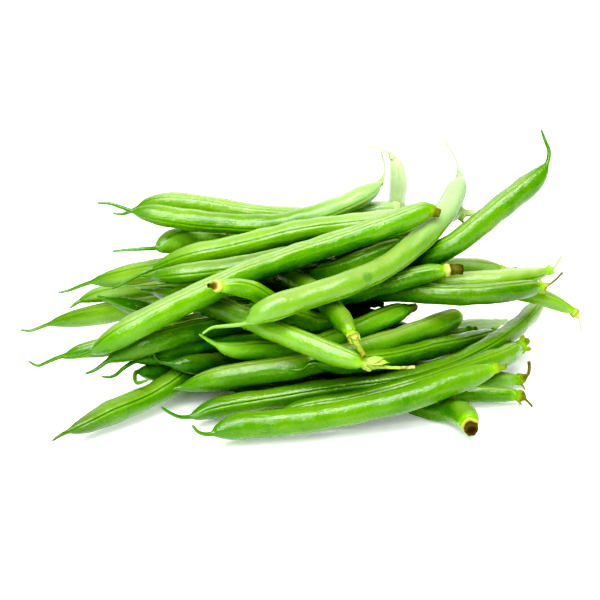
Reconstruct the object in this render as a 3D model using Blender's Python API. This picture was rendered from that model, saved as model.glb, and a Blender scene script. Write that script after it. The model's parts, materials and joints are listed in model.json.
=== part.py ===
"""Loose heap of green beans.

Every bean is one grown solid: thin tail, beak, pod, shoulder, calyx and stalk.
The beans lie on the floor and on each other with a hair of clearance.
Lengths in the tables are millimetres. The finished solids are in metres.
"""
import bpy
import numpy as np

for old in list(bpy.data.objects):
    bpy.data.objects.remove(old, do_unlink=True)

# How the heap was seen. Points of a route are pixels across, pixels down and
# millimetres back from the middle of the heap.
VIEW_RISE_DEG = 22.0
VIEW_DISTANCE = 600.0
MM_PER_PIXEL = 0.34
LOOK_HEIGHT = 31.7
PICTURE_MIDDLE = 300.0

# Sizes shared by all beans, in millimetres.
TAIL_TIP_RADIUS = 0.35
TAIL_ROOT_RADIUS = 0.80
NECK_RADIUS = 2.1
PEDICEL_RADIUS = 0.45
CUT_STUB_RADIUS = 1.75
CALYX_LENGTH = 2.1
SHORTEST_STALK = 3.4
SHOULDER_LENGTH = 9.0
FLATNESS = 0.93
SUTURE_RIDGE = 0.14
CLEARANCE = 0.42
FLOOR_SINK = 0.22

SIDES = 8
TAIL_RINGS = 4
BEAK_RINGS = 3
POD_RINGS = 7

BEANS = []


def bean(name, tail, body, stalk, girth, seam=80.0, beak=14.0, end="cut", held=1.0,
         shoulder=SHOULDER_LENGTH, tail_rings=TAIL_RINGS, colour=(0.20, 0.46, 0.03)):
    """Keep the route of one bean, from the tip of its tail to the end of its stalk."""
    BEANS.append({"name": name, "tail": tail, "body": body, "stalk": stalk, "girth": girth,
                  "seam": seam, "beak": beak, "end": end, "held": held,
                  "shoulder": shoulder, "tail_rings": tail_rings, "colour": colour})


# Front slope.
bean("front_floor",
     [(192, 425, -55), (197, 431, -54), (204, 435, -53)],
     [(210, 434, -52), (231, 428, -48), (265, 424, -45), (300, 421, -43), (350, 412, -39),
      (400, 401, -36), (430, 391.5, -34), (450, 384, -32), (480, 374, -29), (494, 369, -28)],
     [(498, 367.5, -28), (502, 366.5, -28.5), (505, 367, -29)],
     8.7, seam=15, beak=12, end="stub", shoulder=15.0)
bean("second_row",
     [(252, 422, -37), (262, 420, -37)],
     [(272, 417, -36), (300, 411, -35), (350, 403, -29), (400, 391, -24), (450, 375, -14),
      (480, 364, -6), (505, 355, 1), (517, 349, 5)],
     [(523, 344, 8), (527, 341, 9)],
     8.2, seam=60, end="star")
bean("long_low",
     [(161, 407, -39), (170, 413, -39), (180, 417, -38)],
     [(190, 417, -37), (212, 409, -33), (240, 404, -31), (270, 399, -30), (300, 394, -29),
      (350, 386, -28), (400, 379, -22), (450, 362, -9), (475, 352, -1), (505, 335, 13),
      (525, 319, 24), (537, 306.5, 33)],
     [(541, 300, 37), (545, 293, 41)],
     7.6, seam=88, beak=12, end="round", shoulder=7.0)
bean("mid_low",
     [(172, 389, -27), (175, 388.5, -27)],
     [(179, 388, -26), (212, 380, -25), (245, 374, -25), (300, 366, -24), (366, 349, -16),
      (410, 337, -8), (440, 326, 0), (452, 320.5, 4), (457, 317.5, 8)],
     [(458, 316, 12), (457.5, 315, 17)],
     8.6, seam=45, beak=16, end="blunt", shoulder=4.0)
bean("left_diagonal",
     [(52, 441, -53), (59, 436, -52)],
     [(67, 432, -50), (85, 425, -45), (109, 413, -38), (148, 396, -28), (175, 379, -20),
      (194, 363, -13), (202, 353, -9)],
     [(206, 347, -7), (207, 342, -6), (202, 342.5, -6)],
     8.7, seam=85, beak=18, end="thin")
bean("light_diagonal",
     [(140, 290, 0), (146, 290, -1)],
     [(152, 291, -2), (163, 292.5, -4), (178, 296, -7), (205, 304, -12), (230, 312, -17),
      (260, 324, -23), (286, 335, -28), (320, 349, -33), (345, 358, -36), (363, 363, -38)],
     [(372, 365.5, -39), (385, 367, -39), (400, 368, -39), (414, 367, -39)],
     8.1, seam=48, beak=14, end="lobed", colour=(0.30, 0.56, 0.08))
bean("mid_front",
     [(199, 334, -25), (203, 336.5, -25), (208, 340, -24)],
     [(215, 344, -24), (232, 350, -22), (255, 350, -19), (270, 350.5, -17), (300, 349, -15),
      (330, 341, -14), (360, 328, -9), (388, 315, -3), (406, 309, 2)],
     [(411, 308, 6), (414, 307.5, 10)],
     7.9, seam=55, beak=16, end="round", shoulder=5.0)
bean("big_light",
     [(202, 334, -38), (206, 330, -37), (213, 327.5, -36), (225, 326, -35), (236, 325, -35)],
     [(245, 324, -34), (256, 316, -34), (270, 309, -33), (300, 299.5, -28), (317, 293.5, -26),
      (346, 284, -22), (370, 274.5, -17), (395, 260, -10), (415, 244, -4), (432, 228, 3),
      (447, 208, 12), (456, 190, 20), (460, 177, 25)],
     [(458, 168, 28), (456, 160, 30), (450, 149, 33), (445, 141, 35)],
     8.5, seam=148, beak=11, end="thin", tail_rings=5, colour=(0.30, 0.56, 0.08))
bean("big_top",
     [(63, 358, -31), (72, 357.5, -32), (82, 356, -33)],
     [(90, 353, -33), (101, 347, -33), (113, 340, -33), (128, 331, -32), (150, 319.5, -30),
      (186, 301, -26),
      (220, 286, -21), (263, 267, -14), (300, 255, -8), (340, 242, -3), (380, 228.5, 0),
      (405, 219.5, 2), (420, 213.5, 4), (430, 210.5, 5)],
     [(435, 211.5, 5), (439, 213.5, 5)],
     8.9, seam=58, beak=13, end="round", shoulder=6.0)
bean("calyx_forward",
     [(226, 262, 36), (232, 262, 33)],
     [(240, 262, 29), (255, 262, 20), (270, 265, 12), (285, 270, 6), (303, 282, -2),
      (316, 292, -9), (329, 304, -16), (341, 319, -24), (351, 334, -31)],
     [(356, 343, -34), (360, 350, -36), (364, 356, -38)],
     7.6, seam=10, end="lobed")
bean("cut_end_left",
     [(372, 333, 6), (366, 332, 4)],
     [(358, 331, 2), (335, 327, -4), (310, 321, -10), (288, 313, -17), (270, 302, -22),
      (257, 293, -26), (241, 287.5, -29), (220, 286, -32)],
     [(214, 286, -33.5), (209, 285.5, -35)],
     7.3, seam=60, end="dot", shoulder=11.0, colour=(0.26, 0.52, 0.05))

# Left end.
bean("left_curl",
     [(28, 361, -20), (34, 366, -20), (45, 363, -20), (56, 358, -20)],
     [(64, 356, -20), (80, 351, -19), (96, 349, -18), (120, 343, -14), (150, 334, -8),
      (180, 326, -2), (215, 318, 4), (250, 310, 10)],
     [(257, 308, 11), (262, 307, 12)],
     7.2, seam=60, end="cut", tail_rings=5)
bean("left_under",
     [(85, 374, -31), (92, 371, -31), (99, 368, -30)],
     [(106, 362, -29), (120, 355, -28), (135, 349.5, -27), (150, 343, -26), (180, 334, -21),
      (211, 327, -13), (250, 322, -4), (290, 318, 4)],
     [(297, 317, 5), (302, 316, 6)],
     7.9, seam=50, end="cut")
bean("left_small",
     [(101, 376, -26), (108, 378, -26), (115, 376, -26), (123, 370, -25), (130, 366, -24)],
     [(136, 363, -23), (150, 361, -20), (170, 358, -16), (200, 352, -10), (235, 345, -4),
      (270, 339, 2)],
     [(277, 338, 3), (281, 337, 4)],
     6.6, seam=20, end="cut", tail_rings=6, colour=(0.16, 0.40, 0.02))
bean("left_shade",
     [(164, 348, -23), (157, 349, -23), (153.5, 354, -22), (157, 359, -21)],
     [(163, 361, -20), (180, 362, -17), (200, 360, -12), (225, 356, -6), (260, 350, 0),
      (300, 345, 6), (330, 340, 10)],
     [(337, 339, 11), (341, 338, 12)],
     7.4, seam=20, end="cut", tail_rings=7, colour=(0.14, 0.38, 0.02))
bean("left_loop",
     [(148, 380, -31), (142, 383, -31), (136, 382.5, -31), (133, 377, -30), (136, 373, -29)],
     [(143, 372, -27), (160, 372, -22), (180, 371, -15), (200, 369, -9), (240, 362, 0),
      (280, 357, 8)],
     [(287, 356, 9), (291, 355, 10)],
     6.8, seam=30, end="cut", tail_rings=9, colour=(0.16, 0.40, 0.02))
bean("back_left_floor",
     [(20, 330, 40), (28, 331, 41), (38, 328, 42)],
     [(48, 324, 43), (70, 319, 43), (100, 313, 42), (125, 309, 40), (155, 305, 38),
      (190, 301, 36), (225, 298, 35)],
     [(232, 298, 35), (237, 298, 35)],
     8.0, seam=50, beak=18, end="cut", colour=(0.30, 0.54, 0.10))
bean("dark_pointed",
     [(97, 296, 31), (101, 297, 31)],
     [(106, 299, 30), (120, 303, 28), (140, 309, 25), (165, 318, 21), (200, 329, 15),
      (240, 339, 10)],
     [(247, 340, 9), (251, 341, 8)],
     7.6, seam=120, beak=18, end="cut", colour=(0.13, 0.36, 0.02))
bean("pale_left",
     [(70, 309, 44), (74, 306, 45)],
     [(80, 302, 46), (95, 297, 46), (115, 293, 45), (145, 290, 44), (180, 287, 43),
      (215, 285, 42)],
     [(222, 284, 42), (227, 284, 42)],
     7.6, seam=70, end="cut", colour=(0.32, 0.56, 0.12))
bean("left_upper",
     [(58, 293, 33), (70, 290, 34), (80, 286, 34)],
     [(90, 282.5, 34), (106, 279.5, 34), (125, 276, 33), (150, 271, 31), (180, 266, 29),
      (210, 262, 27), (250, 258, 25), (290, 254, 23)],
     [(297, 253, 23), (301, 253, 23)],
     8.2, seam=62, beak=16, end="cut", colour=(0.28, 0.54, 0.08))
bean("long_tailed",
     [(112, 289, 6), (128, 281, 7), (143, 273, 8)],
     [(152, 269, 9), (170, 262, 10), (190, 256, 10), (220, 250.5, 10), (263, 240, 9),
      (306, 230, 9), (350, 225, 12), (400, 219, 17), (440, 215.5, 21), (458, 214, 24)],
     [(466, 213, 26), (472, 213, 27)],
     8.4, seam=80, beak=16, end="star", colour=(0.30, 0.56, 0.10))
bean("wide_left",
     [(140, 276, -4), (145, 276, -4)],
     [(151, 276.5, -4), (170, 276.5, -4), (190, 275.5, -3), (215, 273, -1), (245, 269, 2),
      (280, 264, 4), (320, 258, 5), (360, 249, 6), (395, 239, 8), (415, 232, 10)],
     [(421, 229, 11), (425, 227, 12)],
     7.6, seam=95, beak=12, end="cut")
bean("stubby",
     [(112, 251, 22), (124, 250.5, 22), (138, 250, 22), (149, 250, 23)],
     [(155, 250, 24), (165, 247, 27), (180, 243, 32), (200, 240, 40), (225, 239, 48),
      (245, 243, 55)],
     [(250, 246, 57), (253, 248, 58)],
     8.8, seam=62, beak=8, end="cut", colour=(0.26, 0.52, 0.06))

# Top and back.
bean("top_back",
     [(97, 203, 25), (107, 203, 25), (121, 207, 25)],
     [(132, 211, 25), (150, 213.5, 25), (176, 218, 25), (220, 223, 25), (268, 224, 25),
      (306, 217.5, 27), (340, 206, 30), (365, 194, 34), (379, 184, 37)],
     [(384, 175, 39), (384, 163, 41), (381, 152, 43)],
     8.0, seam=115, beak=12, end="thin", colour=(0.30, 0.56, 0.10))
bean("top_rear",
     [(112, 213, 37), (120, 214.5, 37), (129, 212, 37)],
     [(137, 208, 37), (150, 203.5, 37), (176, 202.5, 37), (214, 207.5, 37), (240, 212, 37),
      (268, 215, 37), (306, 217, 39), (340, 215, 40), (375, 210, 40), (393, 207, 40)],
     [(399, 206, 41), (404, 206, 41)],
     7.8, seam=60, end="dot", colour=(0.28, 0.54, 0.08))
bean("upright_back",
     [(366, 300, 67), (368, 291, 65)],
     [(371, 281, 63), (378, 258, 58), (387, 232, 53), (395, 208, 48), (398, 188, 45),
      (397, 168, 43), (393, 158, 42)],
     [(388, 152, 41), (378, 149, 40), (368, 146, 39)],
     7.4, seam=90, end="thin", colour=(0.34, 0.58, 0.14))
bean("beak_up",
     [(541, 129, 24), (544.5, 139, 23), (548.5, 149, 22), (549.5, 156, 21)],
     [(547, 163, 20), (537, 178, 18), (512, 198, 14), (489, 217, 10), (465, 236, 6),
      (445, 250, 4), (420, 260, 7), (390, 270, 11), (360, 280, 16), (330, 289, 22)],
     [(324, 291, 23), (320, 292, 24)],
     8.6, seam=55, beak=13, end="cut", tail_rings=6, colour=(0.22, 0.50, 0.04))

# Right end.
bean("cut_right",
     [(296, 307, 7), (303, 305, 6)],
     [(310, 303, 5), (340, 296, 1), (370, 288, -2), (400, 280, -4), (425, 274, -4),
      (444, 270.5, -4)],
     [(452, 269.5, -4), (462, 269.5, -4)],
     7.8, seam=60, end="cut")
bean("thin_pale",
     [(348, 279, 31), (354, 277, 31)],
     [(362, 276, 30), (400, 271, 28), (450, 266, 27), (480, 266.5, 27), (500, 268, 28)],
     [(508, 268.5, 28), (516, 268, 28)],
     6.4, seam=60, end="thin", colour=(0.34, 0.58, 0.16))
bean("right_upper",
     [(316, 300, 24), (323, 298, 23)],
     [(330, 296, 22), (370, 290, 17), (400, 286, 13), (430, 283, 9), (450, 282, 7),
      (480, 281, 7), (506, 279, 9), (530, 275.5, 13), (546, 271.5, 16)],
     [(551.5, 270, 18), (556, 265, 19), (561, 257, 20)],
     7.8, seam=110, shoulder=13.0, end="small", colour=(0.28, 0.54, 0.08))
bean("right_middle",
     [(324, 292, 8), (331, 292, 7)],
     [(340, 292, 6), (370, 292, 4), (400, 292, 2), (440, 295, -3), (480, 294.5, -3),
      (520, 290, 1), (538, 287, 5)],
     [(546, 286, 7), (552, 283, 8), (557, 278.5, 8.5), (562, 273, 9)],
     7.8, seam=50, end="capped")
bean("right_outer",
     [(366, 277, 27), (373, 277, 27)],
     [(380, 278, 26), (420, 282, 23), (460, 286, 19), (500, 289, 15), (525, 293, 13),
      (548, 299.5, 12), (564, 307, 11), (572, 311, 11)],
     [(577, 314.5, 11), (580, 322, 11), (581, 331, 11)],
     6.6, seam=50, shoulder=13.0, end="small", colour=(0.28, 0.54, 0.08))
bean("back_right_floor",
     [(366, 340, 27), (373, 339, 28)],
     [(380, 338, 29), (420, 335, 34), (450, 331, 39), (475, 327, 43), (494, 324, 46)],
     [(501, 322, 48), (506, 321, 49)],
     7.0, seam=60, end="dot", colour=(0.34, 0.58, 0.16))
bean("right_low",
     [(288, 369, -31), (298, 371, -31), (306, 365, -31)],
     [(314, 363, -31), (330, 364, -30), (360, 363, -27), (400, 359, -21), (430, 352, -14),
      (455, 346, -4), (478, 340, 7), (494, 334, 15)],
     [(500, 331.5, 18), (504, 330, 20)],
     7.4, seam=70, beak=9, end="dot", tail_rings=5)
bean("right_dark",
     [(342, 352, 1), (349, 352, 2)],
     [(356, 352, 2), (390, 347, 5), (425, 341, 11), (450, 336, 16), (466, 332, 19)],
     [(472, 330.5, 20), (476, 329.5, 21)],
     7.0, seam=60, end="dot", colour=(0.16, 0.40, 0.02))
bean("hooked_stalk",
     [(388, 389, -14), (395, 389, -14)],
     [(402, 388, -13), (430, 387, -11), (460, 385, -9), (485, 381.5, -6), (505, 380, -5),
      (517, 379.5, -4)],
     [(522.5, 378.5, -4), (527, 375, -3), (530.5, 370, -2), (531, 366.5, -1), (529, 362.5, 0)],
     6.4, seam=10, end="capped", colour=(0.18, 0.44, 0.02))
bean("narrow_floor",
     [(376, 393, -18), (383, 393, -18)],
     [(390, 393, -17), (430, 393, -17), (460, 393, -17), (480, 393.5, -17.5),
      (500, 394.5, -18), (517, 395.5, -18)],
     [(522, 397, -19), (527, 401, -20), (532, 406, -21)],
     6.2, seam=90, end="capped", colour=(0.20, 0.46, 0.03))
bean("lowest_right",
     [(376, 399, -22), (382, 399, -22)],
     [(390, 399, -23), (405, 401, -25), (425, 405.5, -28), (445, 409, -31), (457, 411.5, -35),
      (465.5, 416.5, -40), (469.5, 424, -44.5)],
     [(470.5, 427, -46.5), (471.5, 430, -48.5)],
     8.6, seam=340, end="butt", shoulder=4.5, colour=(0.24, 0.50, 0.04))

# Mostly or wholly hidden beans that carry the upper ones and finish the back.
bean("under_top",
     [(262, 282, 8), (269, 280, 8)],
     [(276, 277, 7), (310, 267, 4), (345, 258, 2), (380, 249, 3), (400, 243, 5)],
     [(406, 240, 6), (410, 238, 7)],
     7.2, seam=60, end="cut")
bean("inside_floor_back",
     [(182, 330, 40), (188, 330, 40)],
     [(196, 330, 40), (250, 331, 40), (310, 331, 40), (370, 331, 39), (412, 331, 38)],
     [(419, 331, 38), (423, 331, 38)],
     8.4, held=0.2)
bean("inside_floor_middle",
     [(160, 353, 18), (167, 353, 18)],
     [(175, 352, 19), (230, 351, 22), (300, 350, 22), (370, 351, 21), (420, 352, 20)],
     [(427, 352, 20), (431, 352, 20)],
     8.4, held=0.2)
bean("inside_floor_front",
     [(184, 372, 1), (191, 372, 1)],
     [(200, 371, 2), (250, 370, 4), (320, 369, 5), (390, 372, 2)],
     [(397, 372, 2), (401, 372, 2)],
     8.2, held=0.2)
bean("inside_low_front",
     [(218, 389, -13), (225, 389, -13)],
     [(232, 389, -13), (280, 388, -12), (330, 387, -12)],
     [(338, 387, -12), (342, 387, -12)],
     7.8, held=0.2)
bean("inside_second_back",
     [(176, 318, 30), (183, 318, 30)],
     [(190, 318, 31), (240, 317, 32), (300, 316, 33), (360, 317, 32), (385, 318, 31)],
     [(392, 318, 31), (396, 318, 31)],
     8.4, held=0.2)
bean("inside_second_middle",
     [(292, 342, 9), (299, 341, 9)],
     [(306, 341, 10), (350, 340, 11), (400, 339, 13), (430, 338, 14)],
     [(437, 338, 15), (441, 338, 15)],
     7.8, held=0.2)
bean("inside_third_back",
     [(226, 287, 40), (233, 287, 40)],
     [(241, 287, 41), (280, 287, 41), (330, 287, 42), (370, 287, 42), (395, 288, 41)],
     [(402, 288, 41), (406, 288, 41)],
     8.4, held=0.2)
bean("inside_third_middle",
     [(196, 305, 22), (203, 305, 22)],
     [(210, 304, 22), (260, 303, 24), (320, 302, 26), (372, 302, 26)],
     [(379, 302, 26), (383, 302, 26)],
     8.0, held=0.2)
bean("inside_upper_back",
     [(212, 252, 34), (219, 252, 34)],
     [(226, 251, 34), (270, 250, 36), (320, 249, 37), (380, 250, 36), (420, 252, 34)],
     [(427, 252, 34), (431, 252, 34)],
     8.2, held=0.2)
bean("inside_upper_middle",
     [(226, 251, 19), (233, 251, 19)],
     [(240, 250, 19), (280, 248, 20), (330, 246, 21), (385, 246, 20)],
     [(392, 246, 20), (396, 246, 20)],
     7.8, held=0.2)
bean("inside_rear_slope",
     [(226, 260, 46), (233, 260, 46)],
     [(240, 259, 47), (290, 257, 48), (340, 257, 48), (400, 260, 45)],
     [(407, 261, 45), (411, 261, 45)],
     8.2, held=0.2)


def seen_to_heap(point):
    """Place of a seen point: its view ray is cut at the stated distance back."""
    across, down, back = point
    rise = np.radians(VIEW_RISE_DEG)
    focal = VIEW_DISTANCE / MM_PER_PIXEL
    forward = np.array([0.0, np.cos(rise), -np.sin(rise)])
    upward = np.array([0.0, np.sin(rise), np.cos(rise)])
    eye = np.array([0.0, 0.0, LOOK_HEIGHT]) - VIEW_DISTANCE * forward
    ray = forward + np.array([1.0, 0.0, 0.0]) * ((across - PICTURE_MIDDLE) / focal)
    ray = ray + upward * ((PICTURE_MIDDLE - down) / focal)
    return eye + ray * ((back - eye[1]) / ray[1])


def eye_place():
    """Place of the eye in the heap's frame."""
    rise = np.radians(VIEW_RISE_DEG)
    forward = np.array([0.0, np.cos(rise), -np.sin(rise)])
    return np.array([0.0, 0.0, LOOK_HEIGHT]) - VIEW_DISTANCE * forward


def unit(rows):
    """Rows scaled to unit length."""
    size = np.linalg.norm(rows, axis=-1, keepdims=True)
    return rows / np.maximum(size, 1e-9)


def spline(points, step):
    """Smooth curve through points, sampled about every step millimetres."""
    pts = np.asarray(points, dtype=float)
    knots = np.concatenate([[0.0], np.cumsum(np.linalg.norm(np.diff(pts, axis=0), axis=1) ** 0.5)])
    padded = np.vstack([2 * pts[0] - pts[1], pts, 2 * pts[-1] - pts[-2]])
    gap_first = knots[1] - knots[0]
    gap_last = knots[-1] - knots[-2]
    times = np.concatenate([[knots[0] - gap_first], knots, [knots[-1] + gap_last]])
    out = []
    for k in range(len(pts) - 1):
        p0, p1, p2, p3 = padded[k:k + 4]
        t0, t1, t2, t3 = times[k:k + 4]
        count = max(2, int(np.ceil(np.linalg.norm(p2 - p1) / step)))
        for t in np.linspace(t1, t2, count, endpoint=False):
            a1 = (t1 - t) / (t1 - t0) * p0 + (t - t0) / (t1 - t0) * p1
            a2 = (t2 - t) / (t2 - t1) * p1 + (t - t1) / (t2 - t1) * p2
            a3 = (t3 - t) / (t3 - t2) * p2 + (t - t2) / (t3 - t2) * p3
            b1 = (t2 - t) / (t2 - t0) * a1 + (t - t0) / (t2 - t0) * a2
            b2 = (t3 - t) / (t3 - t1) * a2 + (t - t1) / (t3 - t1) * a3
            out.append((t2 - t) / (t2 - t1) * b1 + (t - t1) / (t2 - t1) * b2)
    out.append(pts[-1])
    return np.array(out)


def along(curve):
    """Distance along a sampled curve."""
    return np.concatenate([[0.0], np.cumsum(np.linalg.norm(np.diff(curve, axis=0), axis=1))])


def at(curve, where):
    """Points of a sampled curve at distances along it."""
    reach = along(curve)
    return np.stack([np.interp(where, reach, curve[:, k]) for k in range(3)], axis=1)


def end_sizes(item):
    """Radii of neck, calyx and stalk for the kind of end."""
    if item["end"] == "cut":
        return NECK_RADIUS, 2.25, CUT_STUB_RADIUS
    if item["end"] == "star":
        return 1.9, 2.6, 1.2
    if item["end"] == "stub":
        return 1.9, 1.7, 0.9
    if item["end"] == "dot":
        return 1.9, 2.05, 1.1
    if item["end"] == "small":
        return 1.5, 1.7, 0.42
    if item["end"] == "capped":
        return 1.95, 2.15, PEDICEL_RADIUS
    if item["end"] == "round":
        return 2.5, 2.2, 1.5
    if item["end"] == "blunt":
        return 3.0, 2.5, 1.6
    if item["end"] == "butt":
        return 2.9, 2.95, 2.2
    if item["end"] == "lobed":
        return 1.7, 2.0, 0.8
    return 1.3, 1.25, PEDICEL_RADIUS


def ring_plan(item, tail_length, body_length, stalk_length):
    """Distances along the bean and radii of all its rings."""
    full = item["girth"] / 2
    neck, calyx, stalk = end_sizes(item)
    beak = min(item["beak"], 0.45 * body_length)
    shoulder = min(item["shoulder"], 0.35 * body_length)
    tail_rings = item["tail_rings"]
    where = []
    radius = []
    for k in range(tail_rings):
        part = k / (tail_rings - 1)
        where.append(0.3 + part * (tail_length - 0.3))
        radius.append(TAIL_TIP_RADIUS + part ** 0.7 * (TAIL_ROOT_RADIUS - TAIL_TIP_RADIUS))
    for part in (0.22, 0.5, 1.0)[:BEAK_RINGS]:
        where.append(tail_length + part * beak)
        radius.append(TAIL_ROOT_RADIUS + (full - TAIL_ROOT_RADIUS) * np.sin(part * np.pi / 2) ** 0.85)
    start = tail_length + beak
    stop = tail_length + body_length - shoulder
    for k in range(1, POD_RINGS + 1):
        part = k / POD_RINGS
        where.append(start + part * (stop - start))
        radius.append(full * (1.0 - 0.07 * part + 0.02 * np.sin(3 * np.pi * part)))
    wide = radius[-1]
    for part in (0.5, 0.82, 1.0):
        where.append(stop + part * shoulder)
        radius.append(neck + (wide - neck) * (1.0 - part ** 2.2))
    collar = tail_length + body_length
    cup = min(CALYX_LENGTH, 0.5 * stalk_length)
    where.append(collar + 0.43 * cup)
    radius.append(calyx)
    where.append(collar + cup)
    radius.append(calyx * 0.82 if item["end"] != "thin" else stalk * 1.5)
    rest = stalk_length - cup
    where.append(collar + cup + 0.35 * rest)
    radius.append(stalk)
    where.append(collar + stalk_length)
    radius.append(stalk * 0.95)
    return np.array(where), np.array(radius)


def closest(p0, p1, q0, q1):
    """Nearest parameters of pairs of straight pieces."""
    u = p1 - p0
    v = q1 - q0
    w = p0 - q0
    a = np.sum(u * u, axis=1)
    b = np.sum(u * v, axis=1)
    c = np.sum(v * v, axis=1)
    d = np.sum(u * w, axis=1)
    e = np.sum(v * w, axis=1)
    det = a * c - b * b
    s = np.where(det > 1e-6 * a * c, (b * e - c * d) / np.maximum(det, 1e-9), 0.5)
    s = np.clip(s, 0.0, 1.0)
    t = np.clip((b * s + e) / c, 0.0, 1.0)
    s = np.clip((b * t - d) / a, 0.0, 1.0)
    t = np.clip((b * s + e) / c, 0.0, 1.0)
    return s, t


class Heap:
    """All routes as chains of nodes that may not run through each other."""

    def __init__(self):
        """Lay out the chains along the seen routes."""
        nodes = []
        radii = []
        owner = []
        self.span = []
        self.lengths = []
        for number, item in enumerate(BEANS):
            tail = [seen_to_heap(p) for p in item["tail"]]
            body = [seen_to_heap(p) for p in item["body"]]
            stalk = [seen_to_heap(p) for p in item["stalk"]]
            curve = spline(tail + body + stalk, 0.5)
            reach = along(curve)
            tail_length = reach[np.argmin(np.linalg.norm(curve - body[0], axis=1))]
            neck_at = reach[np.argmin(np.linalg.norm(curve - body[-1], axis=1))]
            total = reach[-1]
            stalk_length = max(total - neck_at, SHORTEST_STALK)
            total = neck_at + stalk_length
            lengths = (tail_length, neck_at - tail_length, stalk_length)
            where, radius = ring_plan(item, *lengths)
            count = max(9, int(round(total / 4.0)) + 1)
            marks = np.linspace(0.0, reach[-1], count)
            half = 0.5 * total / (count - 1)
            fine = np.linspace(0.0, total, 400)
            size = np.interp(fine, where, radius)
            scaled = marks * total / reach[-1]
            wide = [size[np.abs(fine - m) <= half + 0.5].max() for m in scaled]
            first = len(owner)
            nodes.append(at(curve, marks))
            radii.append(wide)
            owner.extend([number] * count)
            self.span.append((first, first + count))
            self.lengths.append(lengths)
        self.start = np.vstack(nodes)
        self.place = self.start.copy()
        self.radius = np.concatenate(radii)
        self.owner = np.array(owner)
        self.held = np.array([BEANS[n]["held"] for n in owner])
        heads = [np.arange(a, b - 1) for a, b in self.span]
        self.head = np.concatenate(heads)
        self.ray = unit(self.start - eye_place())

    def pairs(self, slack):
        """Pieces of different beans that are near each other."""
        mid = 0.5 * (self.place[self.head] + self.place[self.head + 1])
        half = 0.5 * np.linalg.norm(self.place[self.head + 1] - self.place[self.head], axis=1)
        wide = np.maximum(self.radius[self.head], self.radius[self.head + 1])
        reach = half + wide + 0.5 * slack
        first = []
        second = []
        for k in range(len(self.head) - 1):
            gap = np.linalg.norm(mid[k + 1:] - mid[k], axis=1)
            other = self.owner[self.head[k + 1:]] != self.owner[self.head[k]]
            near = (gap < reach[k + 1:] + reach[k]) & other
            found = np.nonzero(near)[0] + k + 1
            first.append(np.full(len(found), k))
            second.append(found)
        return self.head[np.concatenate(first)], self.head[np.concatenate(second)]

    def part_pairs(self, one, two, strength):
        """Move touching pieces apart, mostly along the line of sight."""
        s, t = closest(self.place[one], self.place[one + 1], self.place[two], self.place[two + 1])
        a = self.place[one] + s[:, None] * (self.place[one + 1] - self.place[one])
        b = self.place[two] + t[:, None] * (self.place[two + 1] - self.place[two])
        need = (1 - s) * self.radius[one] + s * self.radius[one + 1] + CLEARANCE
        need = need + (1 - t) * self.radius[two] + t * self.radius[two + 1]
        apart = b - a
        size = np.linalg.norm(apart, axis=1)
        lack = need - size
        hit = lack > 0.0
        if not hit.any():
            return 0.0
        one, two, s, t = one[hit], two[hit], s[hit], t[hit]
        lack = lack[hit]
        way = apart[hit] / np.maximum(size[hit], 1e-6)[:, None]
        ray = self.ray[one]
        deep = np.sum(way * ray, axis=1)[:, None] * ray
        soft = 0.12 + 0.5 * (1.0 - 0.5 * (self.held[one] + self.held[two]))[:, None]
        push = deep + soft * (way - deep)
        along_way = np.maximum(np.sum(push * way, axis=1), 0.05)
        push = push * (strength * lack / along_way)[:, None] * 0.5
        limit = np.linalg.norm(push, axis=1)
        push = push * (np.minimum(limit, 1.2) / np.maximum(limit, 1e-9))[:, None]
        move = np.zeros_like(self.place)
        times = np.zeros(len(self.place))
        for index, weight, sign in ((one, 1 - s, -1), (one + 1, s, -1), (two, 1 - t, 1), (two + 1, t, 1)):
            np.add.at(move, index, sign * weight[:, None] * push)
            np.add.at(times, index, weight)
        self.place += move / np.maximum(times, 1.0)[:, None] * 1.6
        return lack.max()

    def settle(self, rounds, hold, stiff, strength=1.0):
        """Relax the chains: no overlap, shapes kept, seen places kept."""
        worst = 0.0
        for turn in range(rounds):
            if turn % 8 == 0:
                one, two = self.pairs(4.0)
            shift = self.place - self.start
            deep = np.sum(shift * self.ray, axis=1)[:, None] * self.ray
            side = shift - deep
            self.place -= hold * (0.10 * self.held)[:, None] * side
            self.place -= hold * 0.012 * deep
            shift = self.place - self.start
            for a, b in self.span:
                inner = 0.5 * (shift[a:b - 2] + shift[a + 2:b])
                shift[a + 1:b - 1] += stiff * (inner - shift[a + 1:b - 1])
                shift[a] += stiff * (2 * shift[a + 1] - shift[a + 2] - shift[a]) * 0.5
                shift[b - 1] += stiff * (2 * shift[b - 2] - shift[b - 3] - shift[b - 1]) * 0.5
            self.place = self.start + shift
            worst = self.part_pairs(one, two, strength)
            low = self.radius - FLOOR_SINK
            self.place[:, 2] = np.maximum(self.place[:, 2], low)
        return worst


def frames(curve, tangents, seam_deg):
    """Direction of the suture and of the flat side at each ring."""
    rise = np.radians(VIEW_RISE_DEG)
    upward = np.array([0.0, np.sin(rise), np.cos(rise)])
    ray = unit(curve - eye_place())
    count = len(curve)
    upper = unit(np.cross(ray, tangents))
    middle = count // 2
    if np.dot(upper[middle], upward) < 0:
        upper[middle] = -upper[middle]
    for k in range(middle + 1, count):
        if np.dot(upper[k], upper[k - 1]) < 0:
            upper[k] = -upper[k]
    for k in range(middle - 1, -1, -1):
        if np.dot(upper[k], upper[k + 1]) < 0:
            upper[k] = -upper[k]
    near = unit(np.cross(tangents, upper))
    if np.dot(near[middle], ray[middle]) > 0:
        near = -near
    turn = np.radians(seam_deg)
    suture = np.cos(turn) * upper + np.sin(turn) * near
    flat = -np.sin(turn) * upper + np.cos(turn) * near
    return suture, flat


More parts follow.
